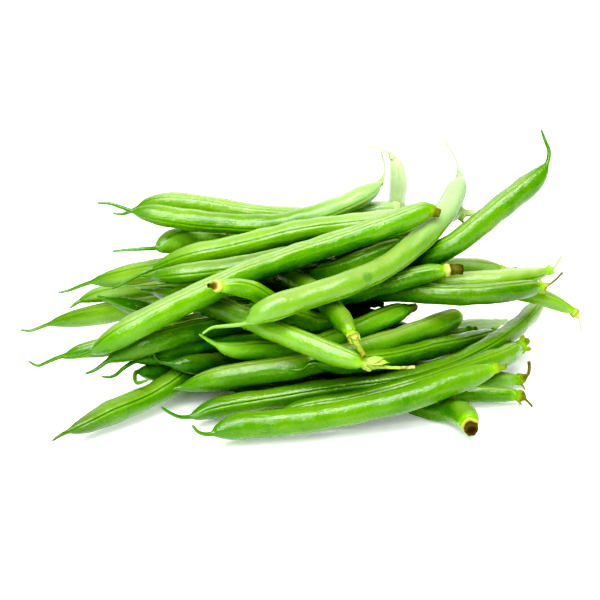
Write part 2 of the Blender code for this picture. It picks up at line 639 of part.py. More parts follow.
def build_bean(item, nodes, lengths):
    """Vertices and faces of one bean around its settled centreline."""
    curve = spline(nodes, 0.4)
    reach = along(curve)
    where, radius = ring_plan(item, *lengths)
    total = sum(lengths)
    scale = reach[-1] / total
    middle = at(curve, where * scale)
    before = at(curve, np.clip(where * scale - 0.6, 0.0, reach[-1]))
    after = at(curve, np.clip(where * scale + 0.6, 0.0, reach[-1]))
    tangents = unit(after - before)
    suture, flat = frames(middle, tangents, item["seam"])
    full = item["girth"] / 2
    count = len(where)
    verts = []
    for k in range(count):
        oval = FLATNESS if radius[k] > 0.6 * full and k > item["tail_rings"] else 1.0
        for j in range(SIDES):
            angle = 2 * np.pi * j / SIDES
            reach_out = radius[k]
            if j == 0 and item["tail_rings"] <= k < count - 4:
                reach_out += SUTURE_RIDGE
            if item["end"] in ("star", "lobed") and k == count - 4 and j % 2 == 1:
                reach_out *= 0.72
            out = np.cos(angle) * suture[k] + np.sin(angle) * oval * flat[k]
            verts.append(middle[k] + reach_out * out)
    first = at(curve, np.array([0.0]))[0]
    last = middle[-1] + 0.25 * tangents[-1]
    verts.append(first)
    verts.append(last)
    tip = count * SIDES
    butt = tip + 1
    faces = []
    for j in range(SIDES):
        n = (j + 1) % SIDES
        faces.append((tip, n, j))
        base = (count - 1) * SIDES
        faces.append((butt, base + j, base + n))
    for k in range(count - 1):
        low = k * SIDES
        high = low + SIDES
        for j in range(SIDES):
            n = (j + 1) % SIDES
            faces.append((low + j, low + n, high + n))
            faces.append((low + j, high + n, high + j))
    verts = np.array(verts)
    verts[:, 2] = np.maximum(verts[:, 2], 0.0)
    tri = np.array(faces)
    a, b, c = verts[tri[:, 0]], verts[tri[:, 1]], verts[tri[:, 2]]
    volume = np.sum(np.cross(a, b) * c)
    if volume < 0:
        faces = [(f[0], f[2], f[1]) for f in faces]
    return verts, faces


def add_solid(name, verts, faces, colour, collection):
    """Add one named solid with its own material."""
    mesh = bpy.data.meshes.new(name)
    mesh.from_pydata([tuple(v) for v in verts * 0.001], [], faces)
    mesh.validate()
    mesh.update()
    material = bpy.data.materials.new(name + "_skin")
    material.use_nodes = True
    shader = material.node_tree.nodes.get("Principled BSDF")
    shader.inputs["Base Color"].default_value = (colour[0], colour[1], colour[2], 1.0)
    shader.inputs["Roughness"].default_value = 0.42
    shader.inputs["Metallic"].default_value = 0.0
    mesh.materials.append(material)
    mesh.shade_smooth()
    solid = bpy.data.objects.new(name, mesh)
    collection.objects.link(solid)
    return solid


def main():
    """Settle the heap and build every bean."""
    collection = bpy.data.collections.new("green_bean_bundle")
    bpy.context.scene.collection.children.link(collection)
    heap = Heap()
    heap.settle(260, 1.0, 0.55)
    heap.settle(120, 0.25, 0.35)
    heap.settle(160, 0.0, 0.15)
    solids = []
    for number, item in enumerate(BEANS):
        a, b = heap.span[number]
        solids.append(build_bean(item, heap.place[a:b], heap.lengths[number]))
    every = np.vstack([s[0] for s in solids])
    middle = 0.5 * (every.min(axis=0) + every.max(axis=0))
    shift = np.array([-middle[0], -middle[1], -every[:, 2].min()])
    for item, (verts, faces) in zip(BEANS, solids):
        add_solid("bean_" + item["name"], verts + shift, faces, item["colour"], collection)
    return heap, shift


main()
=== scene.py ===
import json
import math

import bpy
import numpy as np
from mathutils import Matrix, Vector


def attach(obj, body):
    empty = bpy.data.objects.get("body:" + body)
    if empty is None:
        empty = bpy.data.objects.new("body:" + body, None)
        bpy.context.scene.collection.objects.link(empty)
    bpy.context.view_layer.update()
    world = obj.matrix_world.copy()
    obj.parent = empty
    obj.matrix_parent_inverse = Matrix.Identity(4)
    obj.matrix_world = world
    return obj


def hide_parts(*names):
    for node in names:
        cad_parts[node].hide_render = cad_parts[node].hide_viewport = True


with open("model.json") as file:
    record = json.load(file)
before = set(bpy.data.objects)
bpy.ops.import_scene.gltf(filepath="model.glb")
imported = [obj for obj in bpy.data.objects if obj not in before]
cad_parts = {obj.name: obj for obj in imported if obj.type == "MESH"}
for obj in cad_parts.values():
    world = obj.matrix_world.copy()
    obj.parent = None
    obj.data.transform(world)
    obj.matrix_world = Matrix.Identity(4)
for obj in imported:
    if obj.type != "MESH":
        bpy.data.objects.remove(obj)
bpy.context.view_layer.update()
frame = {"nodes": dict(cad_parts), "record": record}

# Metres in a millimetre, and the other way round.
MM = 0.001
TO_MM = 1000.0

# Fine mesh of one bean, in millimetres and degrees.
STATION_STEP = 1.15
FINE_STEP = 0.45
SHOULDER_STEP = 0.8
END_STEP = 0.26
LEAST_STEP = 0.08
FIRST_RING = 0.15
LAST_RING = 0.02
PAST_ROOT = 2.0
BEFORE_NECK = 1.0
HALF_ROUND = (0.0, 3.0, 6.0, 9.0, 12.5, 17.0, 23.0, 32.0, 43.0, 55.0, 68.0, 81.0, 94.0, 107.0,
              120.0, 133.0, 145.0, 156.0, 165.0, 171.5, 176.0)
FLATTER = 0.07
FLOOR_GAP = 0.02
WELD_STEP = 0.002

# The rings of the solid, counted from the root of the tail.
RING_SIDES = 8
RINGS_AFTER_TAIL = 17
RINGS_TO_BEAK_END = 3
RINGS_TO_MIDDLE = 7
RINGS_TO_SHOULDER = 10
RINGS_TO_NECK = 13
RINGS_TO_CUP = 15
RINGS_WITHOUT_RIDGE = 4
RIDGE = 0.12
SAME_WAY = 0.8
TIP_SHARE = 0.55
END_SHARE = 0.96

# Relief round the pod: height, distance from the seam and width.
GROOVE = (-0.13, 0.0, 0.27)
LIP = (0.06, 0.70, 0.45)
BACK_RIDGE = (0.10, 0.0, 0.5)
BACK_DIP = (-0.05, 0.9, 0.35)

# Where the relief starts and stops: distance from the root and from the neck, and softness.
RELIEF_START = (3.0, 1.2)
RELIEF_STOP = (2.0, 0.9)

# Seeds and soft waves. A pair is the least value and what chance adds to it.
SEED_SPACING = (10.0, 2.5)
SEED_SIZE = (0.70, 0.6)
SEED_UNEVEN = (0.88, 0.24)
SEED_LENGTH = 3.4
SEED_SWELL = 0.26
SEED_LEVEL = 0.45
SEED_ROUND = 0.25
SEEDS_BEFORE_BEAK = 4.0
SEEDS_PAST_SHOULDER = 2.0
WAVES = 8
WAVE_HEIGHT = 0.035
WAVE_LENGTH = (6.0, 26.0)
WAVE_TURNS = 4

# Calyx, stalk and cut face.
CALYX_LOBES = 5
LOBE_HEIGHT = 0.30
LOBE_DIP = 0.12
CALYX_SHIFT = 0.2
CALYX_SHARE = 0.62
CALYX_LEAST = 0.8
NECK_DIP = (-0.12, -0.1, 0.35)
STALK_SOFT = 0.25
STALK_RIBS = (7, 0.06)
STALK_KNOBS = (2.3, 0.05)
CUT_TEETH = (9, 0.10)
CUT_INNER = (0.80, 0.10)
CUT_CORE = (0.45, -0.28)
CUT_MIDDLE = 0.20
TAIL_TIP = 0.12

# Sepals: where they sit, their grid, and how their bend, width and thickness change.
SEPAL_AT = (0.55, 0.78)
SEPAL_GRID = 8
SEPAL_BEND = (0.55, 0.75)
SEPAL_WIDTH = (0.75, 1.1, -0.4)
SEPAL_EDGE = 0.10
SEPAL_THICK = (0.30, 0.7, 0.08)
SEPAL_DIP = 0.25
SEPAL_ROOT = 0.3

# The zone value along a bean: tip of the tail, root, start of the neck, neck, cup, end of the
# stalk. The cut face and the sepals have their own.
ZONES = (0.0, 0.5, 1.0, 2.0, 3.0, 4.0)
NECK_LENGTH = 6.0
BEAK_FADE = 4.0
CUT_ZONES = (4.2, 4.5, 4.6)
SEPAL_ZONES = (2.4, 2.45, 3.15, 3.2)
NO_SUTURE = 9.0

# View of the photograph, in millimetres.
VIEW_RISE_DEG = 22.0
VIEW_DISTANCE = 600.0
MM_PER_PIXEL = 0.34
LOOK_AT = (2.13, -6.02, 31.68)
PICTURE_SIZE = 600
SENSOR = 36.0

# Nearest and farthest distance that the camera sees, in metres.
CLIP = (0.01, 20.0)

# Tone curves, level and level shown: dark tones go darker, of all colours and of blue.
TOE = ((0.03, 0.004), (0.06, 0.017), (0.10, 0.044), (0.17, 0.104), (0.25, 0.190), (0.50, 0.465))
BLUE_TOE = ((0.012, 0.004), (0.04, 0.021), (0.09, 0.075), (0.16, 0.165), (0.30, 0.31))

# Looks that differ from bean to bean. shade: brightness, pale: share of pale green; both are
# partly the bean's own tone and partly painted light and shade, set bean by bean. line: darkness
# of the suture, bloom: share of painted sheen, a paler upper side in place of a
# highlight, gloss: share of the full shine. haze: axis, the two places in mm between
# which the bean turns into the colour mist, painted light that makes it paler or
# brighter, and how much, dim: the same for painted deep shade. shadow: distances in mm
# from the tip of the tail between which a painted shadow turns from dark to normal, and how much.
# spot: centre, reach in mm and strength of a dent's dark mark. end: its colours in ENDS, tail:
# colour of the tail, stalk: thickness of the stalk against the solid's, wear: share of brown
# flecks on the end, sepals: place round the calyx, length, width, lean outwards and turn sideways.
PLAIN = {"shade": 1.0, "pale": 0.0, "line": 0.55, "bloom": 0.3, "gloss": 1.0, "haze": None,
         "mist": (0.37, 0.52, 0.27), "dim": None, "shadow": None, "spot": None, "end": "green",
         "tail": (0.032, 0.135, 0.002), "stalk": 1.0, "wear": 0.2, "sepals": ()}
LOOKS = {
    "front_floor": {"shade": 0.8, "line": 0.35, "bloom": 0.12, "haze": ("X", 30.0, 70.0, 0.3),
                    "mist": (0.23, 0.47, 0.03), "end": "olive", "wear": 0.1},
    "second_row": {"shade": 0.6, "line": 0.6, "bloom": 0.1, "haze": ("X", 40.0, 80.0, 0.3),
                   "mist": (0.23, 0.47, 0.03), "end": "olive",
                   "sepals": ((20, 2.6, 1.7, 62, 0), (110, 2.2, 1.6, 60, 0),
                              (200, 2.6, 1.6, 66, 0), (285, 2.3, 1.7, 60, 0))},
    "long_low": {"shade": 0.66, "line": 0.85, "bloom": 0.15, "haze": ("X", 60.0, 88.0, 0.36),
                 "mist": (0.26, 0.5, 0.04)},
    "mid_low": {"shade": 0.86, "pale": 0.06, "line": 0.7, "bloom": 0.5, "end": "pale"},
    "left_diagonal": {"shade": 0.86, "line": 0.85, "end": "olive", "tail": (0.045, 0.1, 0.004)},
    "light_diagonal": {"shade": 0.98, "pale": 0.18, "line": 0.45, "shadow": (35.0, 47.0, 0.65),
                       "end": "cream", "stalk": 0.65, "wear": 0.3,
                       "sepals": ((58, 7.0, 2.5, 6, 11), (66, 5.6, 2.3, 11, 26),
                                  (140, 2.4, 1.8, 16, 0), (250, 2.6, 1.8, 20, 0))},
    "mid_front": {"shade": 1.42, "pale": 0.14, "line": 0.65, "tail": (0.16, 0.34, 0.04)},
    "big_light": {"shade": 0.75, "pale": 0.18, "line": 0.45, "bloom": 0.4,
                  "haze": ("Z", 54.0, 64.0, 0.62), "spot": ((24.0, -27.3, 48.2), 2.4, 0.95),
                  "end": "grey", "tail": (0.17, 0.36, 0.05), "stalk": 0.8},
    "big_top": {"shade": 0.98, "line": 0.65, "bloom": 0.45, "end": "olive"},
    "calyx_forward": {"shade": 0.66, "line": 0.3, "shadow": (38.0, 58.0, 0.92), "end": "spotted",
                      "wear": 0.45,
                      "sepals": ((30, 3.0, 2.2, -2, 0), (115, 3.2, 2.3, -1, 5),
                                 (200, 3.0, 2.2, -2, 0), (285, 2.8, 2.2, -1, -5))},
    "cut_end_left": {"line": 0.5, "end": "dot", "stalk": 0.66},
    "left_curl": {"shade": 0.62, "line": 0.45},
    "left_under": {"shade": 0.66, "line": 0.6, "bloom": 0.15},
    "left_small": {"shade": 1.6, "line": 0.5},
    "left_shade": {"shade": 0.68, "line": 0.4},
    "left_loop": {"shade": 2.6, "pale": 0.25, "line": 0.5},
    "back_left_floor": {"shade": 0.84, "pale": 0.04, "line": 0.45},
    "dark_pointed": {"shade": 0.44, "line": 0.4, "bloom": 0.0},
    "pale_left": {"shade": 1.8, "pale": 0.75, "line": 0.4},
    "left_upper": {"shade": 0.95, "pale": 0.08, "line": 0.5},
    "long_tailed": {"pale": 0.15, "line": 0.5, "haze": ("X", 4.0, 44.0, 0.5),
                    "mist": (0.42, 0.58, 0.26), "end": "faded",
                    "sepals": ((0, 2.2, 1.7, 55, 0), (90, 2.2, 1.7, 50, 0), (180, 2.2, 1.7, 60, 0),
                               (270, 2.2, 1.7, 55, 0))},
    "wide_left": {"shade": 0.8, "haze": ("X", 0.0, 30.0, 0.15)},
    "stubby": {"shade": 2.2, "pale": 0.6, "line": 0.6},
    "top_back": {"line": 0.4, "bloom": 0.2, "haze": ("X", -5.0, 26.0, 0.5),
                 "mist": (0.36, 0.55, 0.22), "end": "grey", "stalk": 0.72},
    "top_rear": {"pale": 0.2, "line": 0.45, "bloom": 0.4, "haze": ("X", -10.0, 26.0, 0.5),
                 "end": "dot", "wear": 0.1},
    "upright_back": {"pale": 0.25, "line": 0.2, "haze": ("Z", 22.0, 42.0, 0.9),
                     "mist": (0.52, 0.66, 0.34), "end": "faded", "stalk": 0.72},
    "beak_up": {"shade": 0.84},
    "cut_right": {"shade": 0.82, "line": 0.45, "end": "cut", "wear": 0.15},
    "thin_pale": {"shade": 1.8, "pale": 1.0, "line": 0.4, "bloom": 0.8, "end": "tipped"},
    "right_upper": {"pale": 0.1, "line": 0.6, "bloom": 0.8, "end": "pale", "stalk": 0.85,
                    "wear": 0.1,
                    "sepals": ((0, 1.6, 1.2, 26, 0), (120, 1.6, 1.2, 26, 0),
                               (240, 1.6, 1.2, 26, 0))},
    "right_middle": {"shade": 0.64, "line": 0.85, "bloom": 0.25, "end": "yellow", "stalk": 0.85,
                     "wear": 0.4,
                     "sepals": ((-30, 2.4, 1.6, 40, 0), (70, 2.2, 1.5, 34, 0),
                                (160, 2.2, 1.5, 42, 0), (250, 2.4, 1.5, 38, 0))},
    "right_outer": {"pale": 0.15, "line": 0.4, "end": "thread", "stalk": 0.85,
                    "sepals": ((40, 1.2, 1.2, 20, 0), (180, 1.2, 1.2, 20, 0),
                               (300, 1.2, 1.2, 20, 0))},
    "back_right_floor": {"pale": 0.35, "line": 0.3, "haze": ("X", 20.0, 50.0, 0.7),
                         "mist": (0.38, 0.5, 0.28), "end": "pale", "wear": 0.05},
    "right_low": {"shade": 0.68, "line": 0.75, "bloom": 0.15},
    "right_dark": {"shade": 2.2, "pale": 0.8, "line": 0.5},
    "hooked_stalk": {"shade": 1.7, "pale": 0.4, "line": 0.4, "end": "olive", "stalk": 1.25,
                     "wear": 0.7,
                     "sepals": ((60, 2.0, 1.5, 50, 0), (180, 2.6, 1.5, 75, 0),
                                (300, 2.0, 1.5, 45, 0))},
    "narrow_floor": {"shade": 0.86, "line": 0.5, "end": "olive", "stalk": 0.95,
                     "sepals": ((30, 1.6, 1.4, 30, 0), (150, 1.8, 1.4, 36, 0),
                                (270, 1.7, 1.4, 30, 0))},
    "lowest_right": {"shade": 0.92, "line": 0.2, "end": "torn"},
    "under_top": {"shade": 0.84},
}

# Where the beans inside the heap differ from the plain look: painted deep shade towards the front, and
# less shine.
INSIDE = {"dim": ("Y", 46.0, 24.0, 0.60), "gloss": 0.4}

# Colours of the pods by slot, dark to light.
SKINS = {
    "pod_green": ((0.036, 0.155, 0.0005), (0.084, 0.270, 0.001), (0.140, 0.350, 0.003)),
    "pod_light": ((0.060, 0.212, 0.001), (0.116, 0.320, 0.002), (0.184, 0.400, 0.010)),
    "pod_pale": ((0.078, 0.232, 0.002), (0.138, 0.330, 0.008), (0.208, 0.410, 0.026)),
    "pod_deep": ((0.014, 0.084, 0.0005), (0.037, 0.158, 0.001), (0.072, 0.233, 0.001)),
}

# Brightness of all skins, and the colours that are mixed into them.
SKIN_LEVEL = 0.80
PALE_GREEN = (0.28, 0.47, 0.12)
GRAIN_PALE = (0.26, 0.45, 0.02)
SUTURE_DARK = (0.008, 0.085, 0.0003)
SUTURE_PALE = (0.18, 0.38, 0.02)
SHADED = (0.004, 0.026, 0.0005)
WORN = (0.045, 0.028, 0.004)
# Painted sheen: the paler colour of upper sides, in place of a highlight.
PAINTED_SHEEN_COLOUR = (0.31, 0.40, 0.13)

# Noise of the skin: scale, detail and roughness. The fibres are stretched along the bean, and
# the shifts make every bean differ.
SLOW = (55.0, 3.0, 0.55)
FINE = (900.0, 3.0, 0.6)
GRAIN = (2600.0, 2.0, 0.6)
PUCKER = (330.0, 2.0, 0.5)
FIBRE = (1.0, 2.0, 0.5)
FLECKS = (1700.0, 3.0, 0.65)
WET_PATCHES = (110.0, 2.0, 0.5)
FIBRE_SCALE = (0.16, 1.3)
PATTERN_SHIFT = (0.31, 0.17, 0.05)
FIBRE_SHIFT = 1.7

# Each pattern is mapped from a span of its value to a share of a colour. Where a row has only
# the span, the share comes from the look of the bean.
SKIN_STOPS = (0.30, 0.50, 0.72)
FIBRE_LIGHT = (0.42, 0.70, 0.0, 0.35)
FINE_LIGHT = (0.42, 0.72, 0.0, 0.28)
GRAIN_LIGHT = (0.56, 0.76, 0.0, 0.30)
GRAIN_DARK = (0.42, 0.22, 0.0, 0.22)
SUTURE_BAND = (1.30, 0.50, 0.0, 0.40)
SUTURE_LINE = (0.50, 0.12)
DORSAL_BAND = (0.55, 0.10, 0.0, 0.45)
# How far a face turns up before it takes the painted sheen.
SHEEN_FACING_UP = (0.40, 1.0)
BEAK_TINT = (0.15, 1.0, 0.0, 0.65)
END_BORDER = 0.6
END_SPAN = (2.3, 4.9, 0.0, 1.0, "LINEAR")
END_START = (1.45, 2.05, 0.0, 1.0)
FLECK_SPAN = (0.50, 0.64)
SPOT_CORE = 0.4

# Shine of the skin: roughness, and specular and coat between pod and end.
WETNESS = (0.44, 0.62, 0.29, 0.13)
DRY_END = (1.9, 2.3, 0.0, 0.35)
GRAIN_ROUGH = 0.08
SHINE_SPAN = (1.7, 2.2)
SPECULAR = (0.44, 0.18)
COAT = 0.28
COAT_ROUGH = 0.07
SKIN_IOR = 1.42
INNER_GLOW = 0.08
INNER_RADIUS = (0.35, 1.0, 0.12)
INNER_SCALE = 0.0016

# Relief of the skin: strength, and height in metres.
FIBRE_BUMP = (0.50, 0.00026)
PUCKER_BUMP = (0.50, 0.00040)
FINE_BUMP = (0.45, 0.00032)
GRAIN_BUMP = (0.40, 0.00012)

# Floor, with a faint glow outside an ellipse under the heap, in metres.
WHITE = (1.0, 1.0, 1.0)
FLOOR_SIZE = 8.0
FLOOR_COLOUR = (0.97, 0.97, 0.97)
FLOOR_ROUGH = 0.65
FLOOR_SPECULAR = 0.15
GLOW = 0.26
GLOW_CENTRE = (0.024, 0.008, 0.0)
GLOW_TURN_DEG = 19.0
GLOW_REACH = (0.068, 0.034, 1.0)
GLOW_EDGE = (0.9, 1.2)

# Softboxes: name, place, target, size in metres, power in watts.
SOFTBOXES = (("top_soft", (0.0, -0.36, 0.84), (0.0, 0.0, 0.0), (0.80, 0.36), 12.5),
             ("back_soft", (0.10, 0.95, 0.60), (0.0, 0.0, 0.02), (1.2, 0.6), 4.5),
             ("front_soft", (-0.20, -0.90, 0.70), (0.0, 0.0, 0.02), (0.55, 0.45), 9.5))
SURROUND = 0.56

# Colours along the end of a bean: 0 at the neck, 0.385 behind the calyx, 0.77 at the end of
# the stalk and from there the cut face.
ENDS = {
    "green": ((0.00, (0.10, 0.30, 0.005)), (0.30, (0.14, 0.32, 0.01)), (0.50, (0.16, 0.24, 0.02)),
              (0.75, (0.14, 0.15, 0.02)), (1.00, (0.06, 0.045, 0.01))),
    "pale": ((0.00, (0.20, 0.42, 0.03)), (0.30, (0.26, 0.46, 0.06)), (0.60, (0.30, 0.46, 0.09)),
             (0.77, (0.30, 0.38, 0.12)), (1.00, (0.24, 0.26, 0.10))),
    "cut": ((0.00, (0.16, 0.34, 0.01)), (0.08, (0.34, 0.45, 0.09)), (0.25, (0.42, 0.44, 0.15)),
            (0.36, (0.32, 0.30, 0.08)), (0.40, (0.05, 0.044, 0.008)), (0.50, (0.092, 0.094, 0.020)),
            (0.72, (0.055, 0.052, 0.012)), (0.78, (0.030, 0.018, 0.003)), (1.00, (0.02, 0.012, 0.003))),
    "dot": ((0.00, (0.20, 0.40, 0.02)), (0.06, (0.48, 0.60, 0.16)), (0.20, (0.36, 0.43, 0.03)),
            (0.35, (0.50, 0.53, 0.14)), (0.40, (0.40, 0.38, 0.11)), (0.46, (0.11, 0.08, 0.015)),
            (0.77, (0.06, 0.045, 0.01)), (1.00, (0.025, 0.014, 0.003))),
    "olive": ((0.00, (0.12, 0.31, 0.005)), (0.12, (0.16, 0.29, 0.01)), (0.30, (0.18, 0.24, 0.02)),
              (0.42, (0.115, 0.130, 0.016)), (0.72, (0.100, 0.105, 0.018)),
              (1.00, (0.05, 0.04, 0.009))),
    "thread": ((0.00, (0.20, 0.38, 0.01)), (0.14, (0.30, 0.42, 0.09)), (0.24, (0.22, 0.24, 0.02)),
               (0.36, (0.40, 0.42, 0.11)), (0.48, (0.42, 0.46, 0.24)), (1.00, (0.34, 0.36, 0.22))),
    "faded": ((0.00, (0.30, 0.50, 0.10)), (0.14, (0.32, 0.44, 0.07)), (0.26, (0.26, 0.35, 0.05)),
              (0.45, (0.34, 0.40, 0.11)), (0.77, (0.40, 0.42, 0.18)), (1.00, (0.34, 0.34, 0.16))),
    "tipped": ((0.00, (0.24, 0.44, 0.03)), (0.12, (0.42, 0.54, 0.12)), (0.40, (0.50, 0.56, 0.22)),
               (0.62, (0.40, 0.42, 0.18)), (0.72, (0.07, 0.05, 0.015)), (1.00, (0.04, 0.03, 0.01))),
    "cream": ((0.00, (0.20, 0.42, 0.02)), (0.10, (0.27, 0.40, 0.05)), (0.25, (0.31, 0.43, 0.10)),
              (0.42, (0.28, 0.42, 0.07)), (0.66, (0.33, 0.42, 0.08)), (0.70, (0.16, 0.14, 0.04)),
              (0.75, (0.40, 0.46, 0.17)), (1.00, (0.38, 0.42, 0.16))),
    "spotted": ((0.00, (0.18, 0.40, 0.01)), (0.12, (0.30, 0.46, 0.04)), (0.20, (0.33, 0.43, 0.09)),
                (0.28, (0.18, 0.19, 0.02)), (0.36, (0.34, 0.46, 0.09)), (0.60, (0.24, 0.30, 0.04)),
                (0.77, (0.20, 0.22, 0.04)), (1.00, (0.06, 0.045, 0.01))),
    "yellow": ((0.00, (0.18, 0.38, 0.01)), (0.12, (0.24, 0.39, 0.05)), (0.28, (0.27, 0.33, 0.07)),
               (0.40, (0.22, 0.23, 0.03)), (0.50, (0.13, 0.12, 0.04)), (1.00, (0.07, 0.055, 0.02))),
    "grey": ((0.00, (0.26, 0.44, 0.09)), (0.12, (0.27, 0.36, 0.07)), (0.26, (0.18, 0.20, 0.03)),
             (0.45, (0.27, 0.31, 0.14)), (0.77, (0.34, 0.37, 0.23)), (1.00, (0.24, 0.24, 0.15))),
    "torn": ((0.00, (0.16, 0.38, 0.005)), (0.12, (0.23, 0.40, 0.02)), (0.30, (0.35, 0.40, 0.09)),
             (0.42, (0.26, 0.24, 0.04)), (0.50, (0.05, 0.035, 0.006)), (0.75, (0.08, 0.055, 0.01)),
             (1.00, (0.016, 0.009, 0.002))),
}


def unit(rows):
    """Rows scaled to unit length."""
    size = np.linalg.norm(rows, axis=-1, keepdims=True)
    return rows / np.maximum(size, 1e-12)


def bump(x, middle, width):
    """Smooth bell."""
    return np.exp(-((x - middle) / width) ** 2)


def relief(x, row):
    """A bell with its own height."""
    height, middle, width = row
    return height * bump(x, middle, width)


def rising(x, softness):
    """Smooth step from 0 to 1."""
    return 1.0 / (1.0 + np.exp(-x / softness))


def drawn(rng, least, spread):
    """A random value."""
    return least + spread * rng.random()


def welded(node):
    """Vertices in mm and neighbours of a frame node, with split corners joined."""
    mesh = node.data
    co = np.empty(len(mesh.vertices) * 3)
    mesh.vertices.foreach_get("co", co)
    co = co.reshape(-1, 3) * TO_MM
    spots = {}
    index = np.empty(len(co), dtype=int)
    points = []
    for k, key in enumerate(map(tuple, np.round(co / WELD_STEP).astype(np.int64))):
        if key not in spots:
            spots[key] = len(points)
            points.append(co[k])
        index[k] = spots[key]
    links = [set() for _ in points]
    for edge in mesh.edges:
        a, b = index[edge.vertices[0]], index[edge.vertices[1]]
        if a != b:
            links[a].add(b)
            links[b].add(a)
    return np.array(points), links


def layers_from(start, links):
    """Vertices grouped by their number of steps from a pole."""
    reached = {start}
    layers = [[start]]
    while layers[-1]:
        following = []
        for k in layers[-1]:
            for n in links[k]:
                if n not in reached:
                    reached.add(n)
                    following.append(n)
        layers.append(following)
    return layers[:-1]


def rings_of(node):
    """Rings of the coarse solid from the tip of the tail to the end of the stalk."""
    points, links = welded(node)
    best = None
    for pole in range(len(points)):
        if len(links[pole]) not in (RING_SIDES - 1, RING_SIDES):
            continue
        layers = layers_from(pole, links)
        uneven = sum(abs(len(layer) - RING_SIDES) for layer in layers[1:-1])
        uneven += 4 * abs(len(layers[-1]) - 1)
        score = (uneven, -len(layers))
        if best is None or score < best[0]:
            best = (score, layers)
    layers = best[1]
    first = points[layers[1]]
    last = points[layers[-2]]
    if np.ptp(first, axis=0).max() > np.ptp(last, axis=0).max():
        layers = layers[::-1]
    return points, layers


def carried(direction, start, tangents):
    """A direction carried along the centreline without twist, from one ring to both ends."""
    count = len(tangents)
    out = np.zeros((count, 3))
    out[start] = direction - np.dot(direction, tangents[start]) * tangents[start]
    for step in (1, -1):
        k = start
        while 0 <= k + step < count:
            following = out[k] - np.dot(out[k], tangents[k + step]) * tangents[k + step]
            out[k + step] = following / max(np.linalg.norm(following), 1e-9)
            k += step
    return unit(out)


def curve_through(points, knots, where):
    """Smooth curve through points at given knots, read at given places."""
    slopes = np.gradient(points, knots, axis=0)
    k = np.clip(np.searchsorted(knots, where) - 1, 0, len(knots) - 2)
    gap = (knots[k + 1] - knots[k])[:, None]
    t = ((where - knots[k]) / gap[:, 0])[:, None]
    return ((2 * t ** 3 - 3 * t ** 2 + 1) * points[k] + (t ** 3 - 2 * t ** 2 + t) * gap * slopes[k]
            + (-2 * t ** 3 + 3 * t ** 2) * points[k + 1] + (t ** 3 - t ** 2) * gap * slopes[k + 1])


def size_along(values, knots, where):
    """Smooth reading of a row of sizes that never overshoots."""
    gap = np.diff(knots)
    rise = np.diff(values) / gap
    slope = np.zeros(len(values))
    for k in range(1, len(values) - 1):
        if rise[k - 1] * rise[k] > 0:
            slope[k] = 2 * rise[k - 1] * rise[k] / (rise[k - 1] + rise[k])
    slope[0] = rise[0]
    slope[-1] = rise[-1]
    k = np.clip(np.searchsorted(knots, where) - 1, 0, len(knots) - 2)
    h = gap[k]
    t = (where - knots[k]) / h
    return ((2 * t ** 3 - 3 * t ** 2 + 1) * values[k] + (t ** 3 - 2 * t ** 2 + t) * h * slope[k]
            + (-2 * t ** 3 + 3 * t ** 2) * values[k + 1] + (t ** 3 - t ** 2) * h * slope[k + 1])


def coarse_shape(node):
    """Centres, suture directions and radii of the coarse bean, ring by ring."""
    points, layers = rings_of(node)
    centres = np.array([points[layer].mean(axis=0) for layer in layers])
    rings = len(centres) - 2
    tail_rings = rings - RINGS_AFTER_TAIL
    tangents = unit(np.gradient(centres, axis=0))
    sutures = []
    radii = []
    for k in range(1, rings + 1):
        rel = points[layers[k]] - centres[k]
        reach = np.linalg.norm(rel, axis=1)
        best = int(np.argmax(reach))
        sutures.append(rel[best] / reach[best])
        radii.append(reach[best])
    radii = np.array(radii)
    pod_rings = rings - RINGS_WITHOUT_RIDGE
    radii[tail_rings:pod_rings] -= RIDGE
    middle = tail_rings + RINGS_TO_MIDDLE
    direction = carried(sutures[middle - 1], middle, tangents)
    for k in range(tail_rings, pod_rings):
        seen = sutures[k] - np.dot(sutures[k], tangents[k + 1]) * tangents[k + 1]
        seen = seen / np.linalg.norm(seen)
        if np.dot(seen, direction[k + 1]) > SAME_WAY:
            direction[k + 1] = seen
    size = np.concatenate([[radii[0] * TIP_SHARE], radii, [radii[-1] * END_SHARE]])
    return centres, direction, size, tail_rings


def round_angles():
    """Angles round the pod, close together at the two sutures."""
    full = list(HALF_ROUND) + [180.0] + [360.0 - a for a in reversed(HALF_ROUND[1:])]
    return np.radians(np.array(full))


THETA = round_angles()[None, :]


class Shell:
    """Growing mesh with values on its vertices."""

    NAMES = ("zone", "beak", "suture", "dorsal", "along", "around")

    def __init__(self):
        """Start empty."""
        self.verts = []
        self.faces = []
        self.values = {name: [] for name in self.NAMES}
        self.count = 0

    def add(self, verts, faces, **values):
        """Add one closed shell; a single number fills a whole value row."""
        verts = np.asarray(verts)
        self.faces.extend(tuple(i + self.count for i in face) for face in faces)
        self.verts.append(verts)
        for name in self.NAMES:
            row = np.zeros(len(verts)) + np.asarray(values.get(name, 0.0))
            self.values[name].append(row)
        self.count += len(verts)


def tube_faces(rows, cols):
    """Faces of a tube of rings with a pole behind each end ring."""
    faces = []
    for i in range(rows - 1):
        for j in range(cols):
            n = (j + 1) % cols
            faces.append((i * cols + j, i * cols + n, (i + 1) * cols + n, (i + 1) * cols + j))
    first = rows * cols
    last = (rows - 1) * cols
    for j in range(cols):
        n = (j + 1) % cols
        faces.append((n, j, first))
        faces.append((last + j, last + n, first + 1))
    return faces


